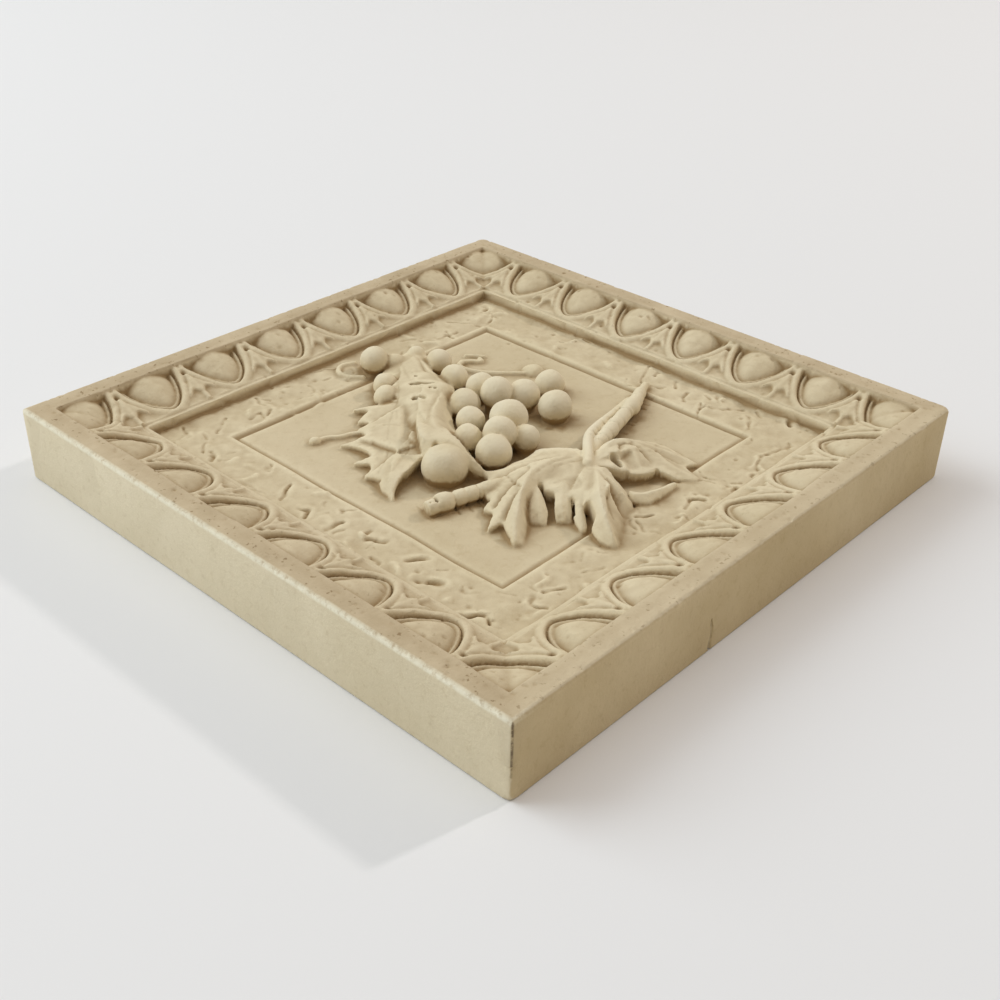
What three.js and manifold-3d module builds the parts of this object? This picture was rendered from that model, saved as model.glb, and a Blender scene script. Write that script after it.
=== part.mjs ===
// Decorative wall plaque: one square casting with a flat rim, an egg-and-dart band that falls
// from the rim to a sunk bed, and a vine with two leaves and a bunch of grapes on a plain panel.
//
// Frame, in millimetres: the origin is at the centre of the flat back, +Z points out of the
// carved front, and +Y points to the top edge as the plaque hangs.

import * as THREE from 'three';
import { mergeVertices } from 'three/addons/utils/BufferGeometryUtils.js';
import Module from 'manifold-3d';

const wasm = await Module();
wasm.setup();

// ---------------------------------------------------------------- driving dimensions

const side = 200;             // outer side of the square
const thickness = 24;         // flat back to the top of the rim
const half = side / 2;

const cornerWorn = 3;         // radius of the two rounder outer corners
const cornerCrisp = 1.2;      // radius of the two sharper ones
const cornerFacets = 4;

const rimWidth = 7.3;         // flat rim
const bandInner = 26.4;       // outer edge of the plaque to the foot of the band
const lipLean = 1.2;          // the step from the rim down to the band leans by this much
const hollowTop = 19.6;       // height of the band's ground under the lip
const hollowFoot = 16.1;      // height of the band's ground beside the fillet
const filletTop = 17.3;       // height of the narrow fillet that closes the band
const filletWidth = 1.9;
const filletLean = 0.4;       // the fillet's inner face leans by this much
const coveWidth = 0.7;        // from the band's ground up to the fillet
const bedTop = 14.2;          // height of the bed inside the band

const panelHalf = 54;         // half the side of the plain panel
const panelTop = 13.5;        // height of the panel
const grooveWidth = 2.4;      // shallow groove round the panel
const grooveFloor = 12.8;

const eggPitch = 24.8;        // one egg and one dart
const eggsPerRail = 8;        // the two outermost are cut by the mitre
const rails = 4;

const lipStep = 0.6;          // the band's ornament stays this far below the rim
const rootDepth = 11;         // relief solids start here, inside the slab
const weldWithin = 1e-4;      // points closer than this are one point

// ---------------------------------------------------------------- joining and cutting

function solid(geometry) {
  const shape = geometry.clone();
  shape.deleteAttribute('normal');
  shape.deleteAttribute('uv');
  const welded = mergeVertices(shape, weldWithin);
  const mesh = new wasm.Mesh({
    numProp: 3,
    vertProperties: new Float32Array(welded.attributes.position.array),
    triVerts: new Uint32Array(welded.index.array),
  });
  return new wasm.Manifold(mesh);
}

function joined(solids) {
  return solids.reduce((sum, next) => sum.add(next));
}

function geometryOf(manifold) {
  const { vertProperties, triVerts } = manifold.getMesh();
  const geometry = new THREE.BufferGeometry();
  geometry.setAttribute('position', new THREE.BufferAttribute(vertProperties, 3));
  geometry.setIndex(new THREE.BufferAttribute(triVerts, 1));
  geometry.computeVertexNormals();
  return geometry;
}

// A grid of points, rows x columns, closed with a flat base at the root depth.
function mound(rows) {
  const columns = rows[0].length;
  const base = rows.map((row) => row.map((point) => new THREE.Vector3(point.x, point.y, rootDepth)));
  const points = [...rows.flat(), ...base.flat()];
  const offset = rows.length * columns;
  const at = (i, j) => i * columns + j;
  const faces = [];
  const quad = (a, b, c, d) => faces.push(a, b, c, a, c, d);
  for (let i = 0; i < rows.length - 1; i++) {
    for (let j = 0; j < columns - 1; j++) {
      quad(at(i, j), at(i, j + 1), at(i + 1, j + 1), at(i + 1, j));
      quad(offset + at(i, j), offset + at(i + 1, j), offset + at(i + 1, j + 1), offset + at(i, j + 1));
    }
    const last = columns - 1;
    quad(at(i, 0), at(i + 1, 0), offset + at(i + 1, 0), offset + at(i, 0));
    quad(at(i + 1, last), at(i, last), offset + at(i, last), offset + at(i + 1, last));
  }
  const end = rows.length - 1;
  for (let j = 0; j < columns - 1; j++) {
    quad(at(0, j + 1), at(0, j), offset + at(0, j), offset + at(0, j + 1));
    quad(at(end, j), at(end, j + 1), offset + at(end, j + 1), offset + at(end, j));
  }
  const geometry = new THREE.BufferGeometry();
  const flat = points.flatMap((point) => [point.x, point.y, point.z]);
  geometry.setAttribute('position', new THREE.Float32BufferAttribute(flat, 3));
  geometry.setIndex(faces);
  return solid(geometry);
}

// A round bar of a given radius along a smooth curve through a few points.
function bar(points, radius, sides, steps) {
  const curve = new THREE.CatmullRomCurve3(points.map(([x, y, z]) => new THREE.Vector3(x, y, z)));
  const section = new THREE.Shape();
  for (let i = 0; i < sides; i++) {
    const turn = (2 * Math.PI * i) / sides;
    section[i === 0 ? 'moveTo' : 'lineTo'](radius * Math.cos(turn), radius * Math.sin(turn));
  }
  return solid(new THREE.ExtrudeGeometry(section, { steps, extrudePath: curve, bevelEnabled: false }));
}

// ---------------------------------------------------------------- slab with its mouldings

function slab() {
  const filletIn = half - bandInner + filletLean;
  const section = [
    [0, 0],
    [half, 0],
    [half, thickness],
    [half - rimWidth, thickness],
    [half - rimWidth - lipLean, hollowTop],
    [filletIn + filletWidth + coveWidth, hollowFoot],
    [filletIn + filletWidth, filletTop],
    [filletIn, filletTop],
    [half - bandInner, bedTop],
    [panelHalf + grooveWidth, bedTop],
    [panelHalf + grooveWidth / 2, grooveFloor],
    [panelHalf, panelTop],
    [0, panelTop],
  ];
  const profile = section.map(([reach, height]) => new THREE.Vector2(reach * Math.SQRT2, height));
  const moulding = new THREE.LatheGeometry(profile, 4, Math.PI / 4);
  moulding.rotateX(Math.PI / 2);
  return solid(moulding).intersect(outline());
}

// The plan outline with its four worn corners, standing through the whole slab.
function outline() {
  const corners = [
    [half, half, cornerCrisp, 0],
    [-half, half, cornerWorn, 1],
    [-half, -half, cornerWorn, 2],
    [half, -half, cornerCrisp, 3],
  ];
  const shape = new THREE.Shape();
  for (const [x, y, radius, quarter] of corners) {
    const start = (quarter * Math.PI) / 2;
    shape.absarc(x - Math.sign(x) * radius, y - Math.sign(y) * radius, radius, start, start + Math.PI / 2);
  }
  const block = new THREE.ExtrudeGeometry(shape, {
    depth: side,
    bevelEnabled: false,
    curveSegments: cornerFacets,
  });
  block.translate(0, 0, -half);
  return solid(block);
}

// ---------------------------------------------------------------- egg-and-dart band

// Rail frame: u runs along the rail, v is the distance in from the outer edge.
function onRail(u, v, z) {
  return new THREE.Vector3(u, half - v, z);
}

function bandGround(v) {
  const share = (v - rimWidth) / (bandInner - rimWidth);
  return THREE.MathUtils.lerp(hollowTop, hollowFoot, share);
}

const eggLength = 17.4;
const eggWidth = 13.7;
const eggTaper = 0.22;        // broader under the lip and narrower at the foot by this share
const eggCentre = 6.6;        // from the lip
const eggRise = 4.3;
const eggSink = 1;            // its underside lies this far inside the ground
const eggFacets = 6;
const collarReach = 17.2;     // lip to the point where the two arms of a collar meet
const collarSpread = 11.5;    // half the distance between the arms at the lip
const collarWidth = 2.6;
const collarRise = 2.8;
const collarFootShare = 0.75; // its height at the foot, against its height at the lip
const collarSink = 0.4;       // its edges lie this far inside the ground
const collarLap = 0.2;        // its arms run this far into the lip
const collarBow = 0.9;        // below 1 the arms bow outwards
const collarPoint = 1.15;     // above 1 the foot is pointed
const collarSteps = 6;
const dartStart = 2.6;        // from the lip
const dartEnd = 13.2;
const dartRise = 2;
const dartTip = 0.7;          // half its width at the top
const dartSpread = 4.4;       // half its width at the foot
const dartLobe = 1.4;         // the middle lobe reaches this far past the others
const dartFlank = 0.4;        // the flank stands at this share of the half width,
const dartFlankShare = 0.6;   // with this share of the rib's height,
const dartEdgeShare = 0.5;    // and the edge with this share

// An egg lies with its broad end under the lip and narrows towards the fillet.
function egg(u) {
  const ball = new THREE.SphereGeometry(1, eggFacets, eggFacets, Math.PI / 2);
  ball.rotateX(Math.PI / 2);
  const place = ball.attributes.position;
  const centre = rimWidth + eggCentre;
  for (let i = 0; i < place.count; i++) {
    const along = place.getY(i);
    const width = eggWidth * (1 + eggTaper * along);
    const v = centre - (along * eggLength) / 2;
    const rise = bandGround(v) - eggSink + (eggRise + eggSink) * place.getZ(i);
    const point = onRail(u + (place.getX(i) * width) / 2, v, rise);
    place.setXYZ(i, point.x, point.y, point.z);
  }
  return solid(ball);
}

// A collar is a raised U round the egg, pointed where its arms meet at the fillet.
function collar(u) {
  const arm = [];
  for (let i = 0; i <= collarSteps; i++) {
    const turn = Math.PI * (i / collarSteps);
    const bow = Math.abs(Math.cos(turn)) ** collarBow;
    const across = Math.sign(Math.cos(turn)) * bow * collarSpread;
    const down = collarReach * Math.sin(turn) ** collarPoint;
    arm.push([across, rimWidth + down - collarLap]);
  }
  const rows = arm.map(([across, v], i) => {
    const before = arm[Math.max(i - 1, 0)];
    const after = arm[Math.min(i + 1, collarSteps)];
    const run = new THREE.Vector2(after[0] - before[0], after[1] - before[1]).normalize();
    const thinned = THREE.MathUtils.lerp(1, collarFootShare, (v - rimWidth) / collarReach);
    return [-0.5, 0, 0.5].map((offset) => {
      const crest = offset === 0 ? collarRise * thinned : -collarSink;
      const shift = offset * collarWidth;
      return onRail(u + across - run.y * shift, v + run.x * shift, bandGround(v) + crest);
    });
  });
  return mound(rows);
}

// A dart widens from a point under the lip to a three-lobed end, with a raised rib.
function dart(u) {
  const rows = [0, 1].map((share) => {
    const v = rimWidth + THREE.MathUtils.lerp(dartStart, dartEnd, share);
    const wide = THREE.MathUtils.lerp(dartTip, dartSpread, share);
    const lobe = dartLobe * share;
    const edge = bandGround(v) + dartRise * dartEdgeShare;
    const flank = bandGround(v) + dartRise * dartFlankShare;
    return [
      onRail(u + wide, v - lobe, edge),
      onRail(u + wide * dartFlank, v, flank),
      onRail(u, v + lobe, bandGround(v) + dartRise),
      onRail(u - wide * dartFlank, v, flank),
      onRail(u - wide, v - lobe, edge),
    ];
  });
  return mound(rows);
}

// One rail of ornament, cut square at its lip and to the mitres at its ends.
function rail() {
  const pieces = [];
  for (let i = 0; i < eggsPerRail; i++) {
    const u = (i - (eggsPerRail - 1) / 2) * eggPitch;
    pieces.push(egg(u), collar(u));
    if (i < eggsPerRail - 1) {
      pieces.push(dart(u + eggPitch / 2));
    }
  }
  const lip = half - rimWidth;
  const foot = half - bandInner + filletWidth;
  const mitred = new THREE.Shape([
    new THREE.Vector2(-lip, lip),
    new THREE.Vector2(-foot, foot),
    new THREE.Vector2(foot, foot),
    new THREE.Vector2(lip, lip),
  ]);
  const depth = thickness - rootDepth - lipStep;
  const block = new THREE.ExtrudeGeometry(mitred, { depth, bevelEnabled: false });
  block.translate(0, 0, rootDepth);
  return joined(pieces).intersect(solid(block));
}

// ---------------------------------------------------------------- grapes

// Centre x, y, height of the centre, radius.
const grapes = [
  [27.4, 6.8, 17.6, 7],
  [12.8, 12.5, 19, 5.4],
  [12.5, 1.6, 19, 4.5],
  [4.1, -5.4, 19, 4.5],
  [-2.8, 4, 21, 5.8],
  [5.9, 8.4, 21, 5.2],
  [-0.9, 12.5, 18, 4.4],
  [-12.9, -10.4, 20.5, 5.3],
  [-20, -5.5, 19, 5.3],
  [-22.4, 5.7, 18, 5.4],
  [-34.5, -7.5, 16.5, 5],
  [-15.1, -19.5, 18.5, 4.8],
  [-4.5, -58.4, 18, 4.7],
  [-19.6, -43.3, 17.5, 4.2],
  [-13.6, -29.8, 18.5, 4.6],
  [-3, -15, 18.5, 5],
  [-18.9, -53.2, 17, 3],
  [-9.8, -54.1, 16, 4],
  [2.7, -45, 16, 4.2],
  [8.3, -38.9, 16, 4.2],
];

const neckShare = 0.8;        // radius of the neck, against the grape's
const neckTurn = -0.18;       // where the ball meets the neck, in half turns below its middle
const grapeRings = 4;
const grapeSides = 8;

// Each grape is turned as a ball on a short neck, because a mould leaves no gap behind it.
function grape([x, y, height, radius]) {
  const foot = rootDepth - height;
  const profile = [new THREE.Vector2(0, foot), new THREE.Vector2(radius * neckShare, foot)];
  for (let i = 0; i <= grapeRings; i++) {
    const turn = THREE.MathUtils.lerp(neckTurn * Math.PI, Math.PI / 2, i / grapeRings);
    const across = i === grapeRings ? 0 : radius * Math.cos(turn);
    profile.push(new THREE.Vector2(across, radius * Math.sin(turn)));
  }
  const ball = new THREE.LatheGeometry(profile, grapeSides);
  ball.rotateX(Math.PI / 2);
  ball.translate(x, y, height);
  return solid(ball);
}

// ---------------------------------------------------------------- leaves

// A lobe falls away on both sides of a curved midrib, which runs from one point, bent towards
// a second, out to a third. The widths lie to its left and right, seen going out to the tip.
const upperLeaf = [
  { midrib: [[0, 37, 22], [13, 27.5, 22.5], [39, 45.5, 14.6]], left: 4, right: 9 },
  { midrib: [[14, 29, 21.5], [30, 27, 18], [40.5, 35, 14.8]], left: 4, right: 4 },
  { midrib: [[12, 28, 21.5], [24, 22, 18.5], [34, 27.5, 14.9]], left: 4, right: 4 },
  { midrib: [[9, 28, 21.5], [19, 20, 19], [28, 21.5, 15.4]], left: 5, right: 4 },
  { midrib: [[5, 29, 21.5], [12, 18, 19], [21.5, 15.5, 16.2]], left: 5, right: 5 },
  { midrib: [[0, 35, 21.5], [0, 24, 20.5], [7, 12.5, 17]], left: 7, right: 5 },
  { midrib: [[4, 36, 21], [18, 36, 19.5], [27, 45.5, 14.8]], left: 3, right: 4 },
  { midrib: [[4, 38, 21], [15, 41, 19.5], [24, 48, 14.8]], left: 3, right: 3 },
  { midrib: [[4, 41, 21], [16, 47, 19], [22, 55, 14.8]], left: 3, right: 2.5 },
  { midrib: [[1, 39, 22], [12, 50, 22], [22, 66, 14.8]], left: 9, right: 4.5 },
  { midrib: [[5, 46, 20], [4, 55, 17], [2.5, 64.5, 14.6]], left: 3, right: 3 },
  { midrib: [[0, 39, 21.5], [-4, 50, 18.5], [-0.5, 59.5, 15]], left: 3.5, right: 4 },
  { midrib: [[-2, 38, 22], [-13, 44, 21.5], [-15.5, 58.5, 15.6]], left: 4, right: 3 },
  { midrib: [[-3, 37, 22], [-18, 40, 23.5], [-22.5, 64, 14.9]], left: 4, right: 4 },
  { midrib: [[-3, 37, 22], [-20, 37, 22.5], [-32, 50, 14.8]], left: 4, right: 4 },
];
const lowerLeaf = [
  { midrib: [[21.5, -1.5, 24], [8, -12, 25], [-16, -53, 18]], left: 8, right: 5 },
  { midrib: [[2, -22, 22.5], [0, -32, 20], [-2, -45, 17.2]], left: 5, right: 5 },
  { midrib: [[8, -18, 22.5], [6, -30, 20], [5, -41.5, 16.8]], left: 5, right: 5 },
  { midrib: [[12, -14, 22.5], [12, -28, 19], [14, -39, 15.8]], left: 5, right: 5 },
  { midrib: [[15, -12, 22], [17, -28, 17.5], [20.5, -42, 14.7]], left: 4, right: 4 },
  { midrib: [[18, -9, 22], [21, -24, 17.5], [25, -35, 14.7]], left: 5, right: 4 },
  { midrib: [[20, -5, 22.5], [30, -18, 17.5], [38.5, -28.5, 14.6]], left: 5, right: 5 },
  { midrib: [[22, -4, 22.5], [33, -11, 18], [43, -17, 14.7]], left: 5, right: 4 },
  { midrib: [[24, -2, 22.5], [34, -5, 19], [44.5, -6, 15]], left: 5, right: 4 },
  { midrib: [[22, -1, 23.8], [36, -2.5, 21], [46, 5, 14.8]], left: 1.6, right: 6 },
  { midrib: [[21.5, -1.5, 24], [24.5, 5.5, 23], [20, 17, 15.3]], left: 2.4, right: 2.4 },
];

const lobeStep = 9;           // length of a blade between its cross-sections
const lobeEdge = 2;           // how far a blade's edge lies below its midrib, at most
const edgeShow = 1;           // how far a blade's edge stands over the panel, at least
const edgeSlope = 0.6;        // fall from the midrib for each millimetre across
const rootShare = 0.15;       // width of a blade at its ends, against its widest place
const widestShift = 0.8;      // below 1 the widest place moves towards the root
const fullness = 0.7;         // below 1 the blade keeps its width longer

function leafLobe({ midrib, left, right }) {
  const bends = midrib.map((point) => new THREE.Vector3(...point));
  const spine = new THREE.QuadraticBezierCurve3(...bends);
  const steps = Math.ceil(spine.getLength() / lobeStep);
  const rows = [];
  for (let i = 0; i <= steps; i++) {
    const share = i / steps;
    const crest = spine.getPoint(share);
    const run = spine.getTangent(share);
    const across = new THREE.Vector2(-run.y, run.x).normalize();
    const bulge = Math.sin(Math.PI * share ** widestShift) ** fullness;
    const swell = THREE.MathUtils.lerp(rootShare, 1, bulge);
    rows.push([left, 0, -right].map((width) => {
      const reach = width * swell;
      const fall = Math.min(Math.abs(reach) * edgeSlope, lobeEdge);
      const z = Math.max(crest.z - fall, Math.min(crest.z, panelTop + edgeShow));
      return new THREE.Vector3(crest.x + across.x * reach, crest.y + across.y * reach, z);
    }));
  }
  return mound(rows);
}

// ---------------------------------------------------------------- twig and tendrils

const leftRadius = 2.4;       // of the cut end on the left
const rightRadius = 2.7;
const stalkRadius = 1.3;      // of the leaf stalk that leaves the twig
const ringLength = 1.2;       // of the swollen rings on the twig
const ringTurn = 0.3;         // their tilt to the sides of the plaque, in radians
const tendrilRadius = 1;
const tendrilLift = 0.3;      // its centre line, above the panel

function twig() {
  const left = [[44, 17.1, 15.4], [34, 19.6, 15.8], [24, 23, 16.2], [8, 31, 17], [-6.3, 34.6, 17.3]];
  const right = [[-3.5, 35.2, 17.6], [-16, 32, 17.5], [-32, 26, 17.4], [-49, 19.4, 17], [-63.1, 13.1, 15.5]];
  const stalk = [[-13, 27.4, 17.4], [-6, 33.1, 19.5], [1, 38.5, 21]];
  const rings = [[39, 18, 15.6, 2.9], [-42, 22.2, 17.1, 3.2]];
  const solids = [bar(left, leftRadius, 6, 4), bar(right, rightRadius, 6, 5), bar(stalk, stalkRadius, 5, 3)];
  for (const [x, y, z, radius] of rings) {
    const ring = new THREE.CylinderGeometry(radius, radius, ringLength, 6);
    ring.rotateZ(Math.PI / 2 + ringTurn * Math.sign(x));
    ring.translate(x, y, z);
    solids.push(solid(ring));
  }
  return joined(solids);
}

// Thin tendrils lie on the panel with their lower half in it.
function tendrils() {
  const lie = panelTop + tendrilLift;
  const curls = [
    [[40, -36], [36, -35.5], [33, -32.5], [29.5, -32], [26, -29]],
    [[2, -57], [5, -60], [6, -65], [2, -69], [-3, -67]],
    [[-40, -21], [-31, -30], [-27, -36], [-26.6, -41.5], [-30, -42.5], [-32.6, -40.8], [-35, -37.6]],
  ];
  return joined(curls.map((points) => bar(points.map(([x, y]) => [x, y, lie]), tendrilRadius, 4, 6)));
}

// ---------------------------------------------------------------- the casting

const ornament = rail();
const rows = Array.from({ length: rails }, (_, i) => ornament.rotate([0, 0, (i * 360) / rails]));
const casting = joined([
  slab(),
  ...rows,
  ...grapes.map(grape),
  ...[...upperLeaf, ...lowerLeaf].map(leafLobe),
  twig(),
  tendrils(),
]);

const plaster = new THREE.MeshStandardMaterial({ color: 0xc8b896, roughness: 0.9, metalness: 0 });
const plaque = new THREE.Mesh(geometryOf(casting), plaster);
plaque.name = 'plaque';

const model = new THREE.Group();
model.add(plaque);

export default model;
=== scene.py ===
import math

import bmesh
import bpy
import numpy as np
from mathutils import Matrix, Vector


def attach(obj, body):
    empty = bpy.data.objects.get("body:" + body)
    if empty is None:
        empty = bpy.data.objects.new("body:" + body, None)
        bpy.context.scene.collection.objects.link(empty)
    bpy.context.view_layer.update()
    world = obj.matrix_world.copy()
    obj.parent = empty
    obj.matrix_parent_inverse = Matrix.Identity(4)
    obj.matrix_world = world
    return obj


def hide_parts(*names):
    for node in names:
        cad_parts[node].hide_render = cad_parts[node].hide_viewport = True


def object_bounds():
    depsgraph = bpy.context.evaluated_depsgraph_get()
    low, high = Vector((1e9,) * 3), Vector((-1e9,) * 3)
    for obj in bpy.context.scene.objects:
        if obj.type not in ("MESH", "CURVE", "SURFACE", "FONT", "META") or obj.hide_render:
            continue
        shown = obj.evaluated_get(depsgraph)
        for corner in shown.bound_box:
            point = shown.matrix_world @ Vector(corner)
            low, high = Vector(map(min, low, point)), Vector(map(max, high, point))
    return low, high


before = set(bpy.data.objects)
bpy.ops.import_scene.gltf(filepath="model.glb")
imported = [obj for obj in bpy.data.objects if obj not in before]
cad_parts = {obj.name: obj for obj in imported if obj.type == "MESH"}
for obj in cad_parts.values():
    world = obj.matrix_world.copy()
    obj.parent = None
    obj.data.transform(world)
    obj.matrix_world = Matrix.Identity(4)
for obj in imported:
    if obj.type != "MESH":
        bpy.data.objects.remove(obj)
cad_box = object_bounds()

# ---------------------------------------------------------------- slab and rim
# The plaque is one square casting of plaster, poured face down in a mould and struck off flat
# at the back. Its front is worked out here as a sheet of heights, in millimetres, on a grid.

low_corner, high_corner = cad_box
SIDE = round(1000 * (high_corner[0] - low_corner[0]), 1)
TALLEST = round(1000 * (high_corner[2] - low_corner[2]), 1)     # top of the highest grape
THICK = 0.12 * SIDE
HALF = SIDE / 2
ROOT = 9.6                    # the carved front is made above this height, the plain sides below
GRAIN = 0.42

RIM = 7.3                     # width of the flat rim
LIP_LEAN = 0.9
HOLLOW_TOP = 18.2             # heights of the ground that the band is carved down to
HOLLOW_FOOT = 16.1
FILLET = 17.3                 # height of the flat fillet below the band
FILLET_OUT = 24.1             # its two edges, from the plaque's outer edge
FILLET_IN = 26.0
FILLET_WALL = 0.7
BAND_FOOT = 26.4              # outer edge to the foot of the fillet
BED = 14.2
PANEL_HALF = 54.0
PANEL = 13.5
GROOVE = 2.4
GROOVE_FLOOR = 12.8
MOULD_WANDER = 0.35           # how far the mould's straight lines stray

xs = np.arange(-HALF - 2 * GRAIN, HALF + 2.5 * GRAIN, GRAIN)
zs = np.arange(ROOT, TALLEST + 2 * GRAIN, GRAIN)
X, Y = np.meshgrid(xs, xs, indexing="ij")


def ramp(value, low, high):
    t = np.clip((value - low) / (high - low), 0, 1)
    return t * t * (3 - 2 * t)


def waves(size, seed, x=X, y=Y):
    """Slow unevenness of a hand-worked surface, between -1 and 1, with lumps of that size."""
    count = int(2.4 * HALF / size) + 3
    lattice = np.random.default_rng(seed).uniform(-1, 1, (count, count))
    gx, gy = (x + 1.15 * HALF) / size, (y + 1.15 * HALF) / size
    i = np.clip(np.floor(gx).astype(int), 0, count - 2)
    j = np.clip(np.floor(gy).astype(int), 0, count - 2)
    fx, fy = gx - i, gy - j
    fx, fy = fx * fx * (3 - 2 * fx), fy * fy * (3 - 2 * fy)
    near = lattice[i, j] * (1 - fy) + lattice[i, j + 1] * fy
    far = lattice[i + 1, j] * (1 - fy) + lattice[i + 1, j + 1] * fy
    return near * (1 - fx) + far * fx


wobble_x = X + MOULD_WANDER * waves(17, 1)
wobble_y = Y + MOULD_WANDER * waves(19, 2)
inward = HALF - np.maximum(np.abs(wobble_x), np.abs(wobble_y))
along = np.where(np.abs(wobble_x) > np.abs(wobble_y), wobble_y, wobble_x)

top = np.interp(
    inward,
    [RIM, RIM + LIP_LEAN, FILLET_OUT - FILLET_WALL, FILLET_OUT, FILLET_IN, BAND_FOOT,
     HALF - PANEL_HALF - GROOVE, HALF - PANEL_HALF - GROOVE / 2, HALF - PANEL_HALF],
    [THICK, HOLLOW_TOP, HOLLOW_FOOT, FILLET, FILLET, BED, BED, GROOVE_FLOOR, PANEL],
)

# ---------------------------------------------------------------- egg-and-dart band
# A carved row of eggs falls from the rim to the bed on all four sides. Each egg sits in a
# raised collar, and a lobed dart hangs between two collars. It is part of the same casting.

PITCH = 24.8                  # one egg and one dart
FINE = 0.1                    # step of the grid that one unit is carved on
LIP_TOP = 23.3                # the carving starts this high against the rim
LIP_STEEP = 4.5
CREST_FOOT = 18.2             # and has come down to this at the fillet
CREST_SAG = 1.1

EGG_REACH = 13.4              # from the lip to the egg's foot
EGG_WIDTH = 16.4
EGG_TOP = 23.5                # where it meets the lip
EGG_START = 1.0               # its widest place, below the lip
EGG_POINT = 1.7               # 2 would be an ellipse, less is more pointed
EGG_FULLNESS = 0.6            # less is fuller

COLLAR_SPREAD = 11.4
COLLAR_REACH = 16.4
COLLAR_POINT = 1.2            # 1 would be an ellipse, more is more pointed
COLLAR_HALF = 1.4
COLLAR_WALL = 0.4             # share of its height that stands as a straight wall
INNER_GAP = 2.35              # from the collar's crest to the thin line that hugs the egg
INNER_HALF = 0.75
INNER_RISE = 0.3
GUTTER_GAP = 1.35
GUTTER_HALF = 0.6
GUTTER_DEPTH = 1.2

DOT_REACH = 3.7               # the drilled dot, below the meeting of two collars
DOT_DEPTH = 1.6
DART_END = 13.9
DART_LENGTH = 10.0
DART_NECK = 0.9
DART_SPREAD = 4.3
DART_NOTCH = 1.9              # depth of the two notches in its lobed end
DART_RISE = 1.2
RIB_HALF = 0.9
BRIDGE_REACH = 3.0            # joins the tops of two collars
BRIDGE_DROP = 0.6
HOLLOW_SHARE = 0.75           # how deep the worn hollows still are, of their depth when fresh
FILLED_SHARE = 0.7            # how far plaster fills the space between the collars
BULGE_SHARE = 0.6             # how far the worn eggs still stand out


def egg_on(ground, u, v):
    across, down = u / (EGG_WIDTH / 2), np.clip(v - EGG_START, 0, None) / (EGG_REACH - EGG_START)
    dome = 1 - across**EGG_POINT - down**EGG_POINT
    rise = EGG_TOP - HOLLOW_TOP + 0.1 * v
    return ground + rise * np.clip(dome, 0, 1) ** EGG_FULLNESS


def beside_collar(u, v):
    """Distance to the crest of the pointed collar, negative on the egg's side."""
    turn = np.linspace(0, math.pi / 2, 160)
    line_u = COLLAR_SPREAD * np.cos(turn) ** COLLAR_POINT
    line_v = COLLAR_REACH * np.sin(turn) ** COLLAR_POINT
    gap = np.full(u.shape, 1e6)
    for a, b in zip(line_u, line_v):
        gap = np.minimum(gap, np.hypot(u - a, v - b))
    share = np.clip(u / COLLAR_SPREAD, 0, 1) ** (2 / COLLAR_POINT)
    return np.where(v < COLLAR_REACH * (1 - share) ** (COLLAR_POINT / 2), -gap, gap)


def round_top(away, half_width):
    return np.sqrt(np.clip(1 - (away / half_width) ** 2, 0, 1))


def dart_on(ground, u, v):
    """The lobed dart with its rib, and the bridge above it where two collars meet."""
    w = PITCH / 2 - u
    opened = np.clip((v - DOT_REACH) / DART_LENGTH, 0, 1)
    wide = DART_NECK + DART_SPREAD * opened**0.9
    lateral = np.clip(w / wide, 0, 1.2)
    end = DART_END - DART_NOTCH * np.sin(math.pi * np.clip(lateral, 0, 1)) ** 2
    inset = np.minimum(np.minimum(wide - w, end - v), v - DOT_REACH)
    fan = DART_RISE + 0.5 * np.exp(-((w / 0.8) ** 2)) + 0.7 * lateral**2
    dart = ground + fan * ramp(inset, -0.1, 0.5)
    rib = ground + ramp(RIB_HALF - w, 0, 0.5) * (v > DOT_REACH)
    rise = LIP_TOP - BRIDGE_DROP - ground
    bridge = ground + rise * ramp(BRIDGE_REACH - np.hypot(w, v), 0, 0.8)
    return np.max([dart, rib, bridge], axis=0)


def soften(heights, times):
    """Averages heights with their neighbours, again and again."""
    for _ in range(times):
        padded = np.pad(heights, 1, mode="edge")
        heights = (
            padded[:-2, 1:-1] + padded[2:, 1:-1] + padded[1:-1, :-2] + padded[1:-1, 2:]
        ) / 4
    return heights


def carved_unit():
    """Half of one unit, from the middle of an egg to the middle of a dart, and lip to foot."""
    u, v = np.meshgrid(
        np.arange(0, PITCH / 2 + 2 * FINE, FINE),
        np.arange(0, BAND_FOOT - RIM + 2 * FINE, FINE),
        indexing="ij",
    )
    share = v / (BAND_FOOT - RIM)
    ground = HOLLOW_TOP + (HOLLOW_FOOT - HOLLOW_TOP) * np.clip(1.5 * share, 0, 1)
    crest = LIP_TOP + (CREST_FOOT - LIP_TOP) * np.clip(v / COLLAR_REACH, 0, 1) ** CREST_SAG
    egg = egg_on(ground, u, v)

    gap = beside_collar(u, v)
    ground = ground + FILLED_SHARE * ramp(gap, 0.4, 1.8) * (crest - ground)
    arch = round_top(gap, COLLAR_HALF)
    collar = ground + (crest - ground) * (COLLAR_WALL * (arch > 0) + (1 - COLLAR_WALL) * arch)
    line = round_top(gap + INNER_GAP, INNER_HALF)
    inner = ground + (INNER_RISE + 0.5 * (crest - ground)) * line
    gutter = GUTTER_DEPTH * np.exp(-(((gap + GUTTER_GAP) / GUTTER_HALF) ** 2))

    dart = dart_on(ground, u, v)
    unit = np.max([ground - gutter, egg, collar, inner, dart], axis=0)
    above = unit - crest
    unit = crest + np.where(above < 0, HOLLOW_SHARE, BULGE_SHARE) * above
    dot = DOT_DEPTH * np.exp(-(((PITCH / 2 - u) ** 2 + (v - DOT_REACH) ** 2) / 0.6))
    return soften(unit - dot, 6)


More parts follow.
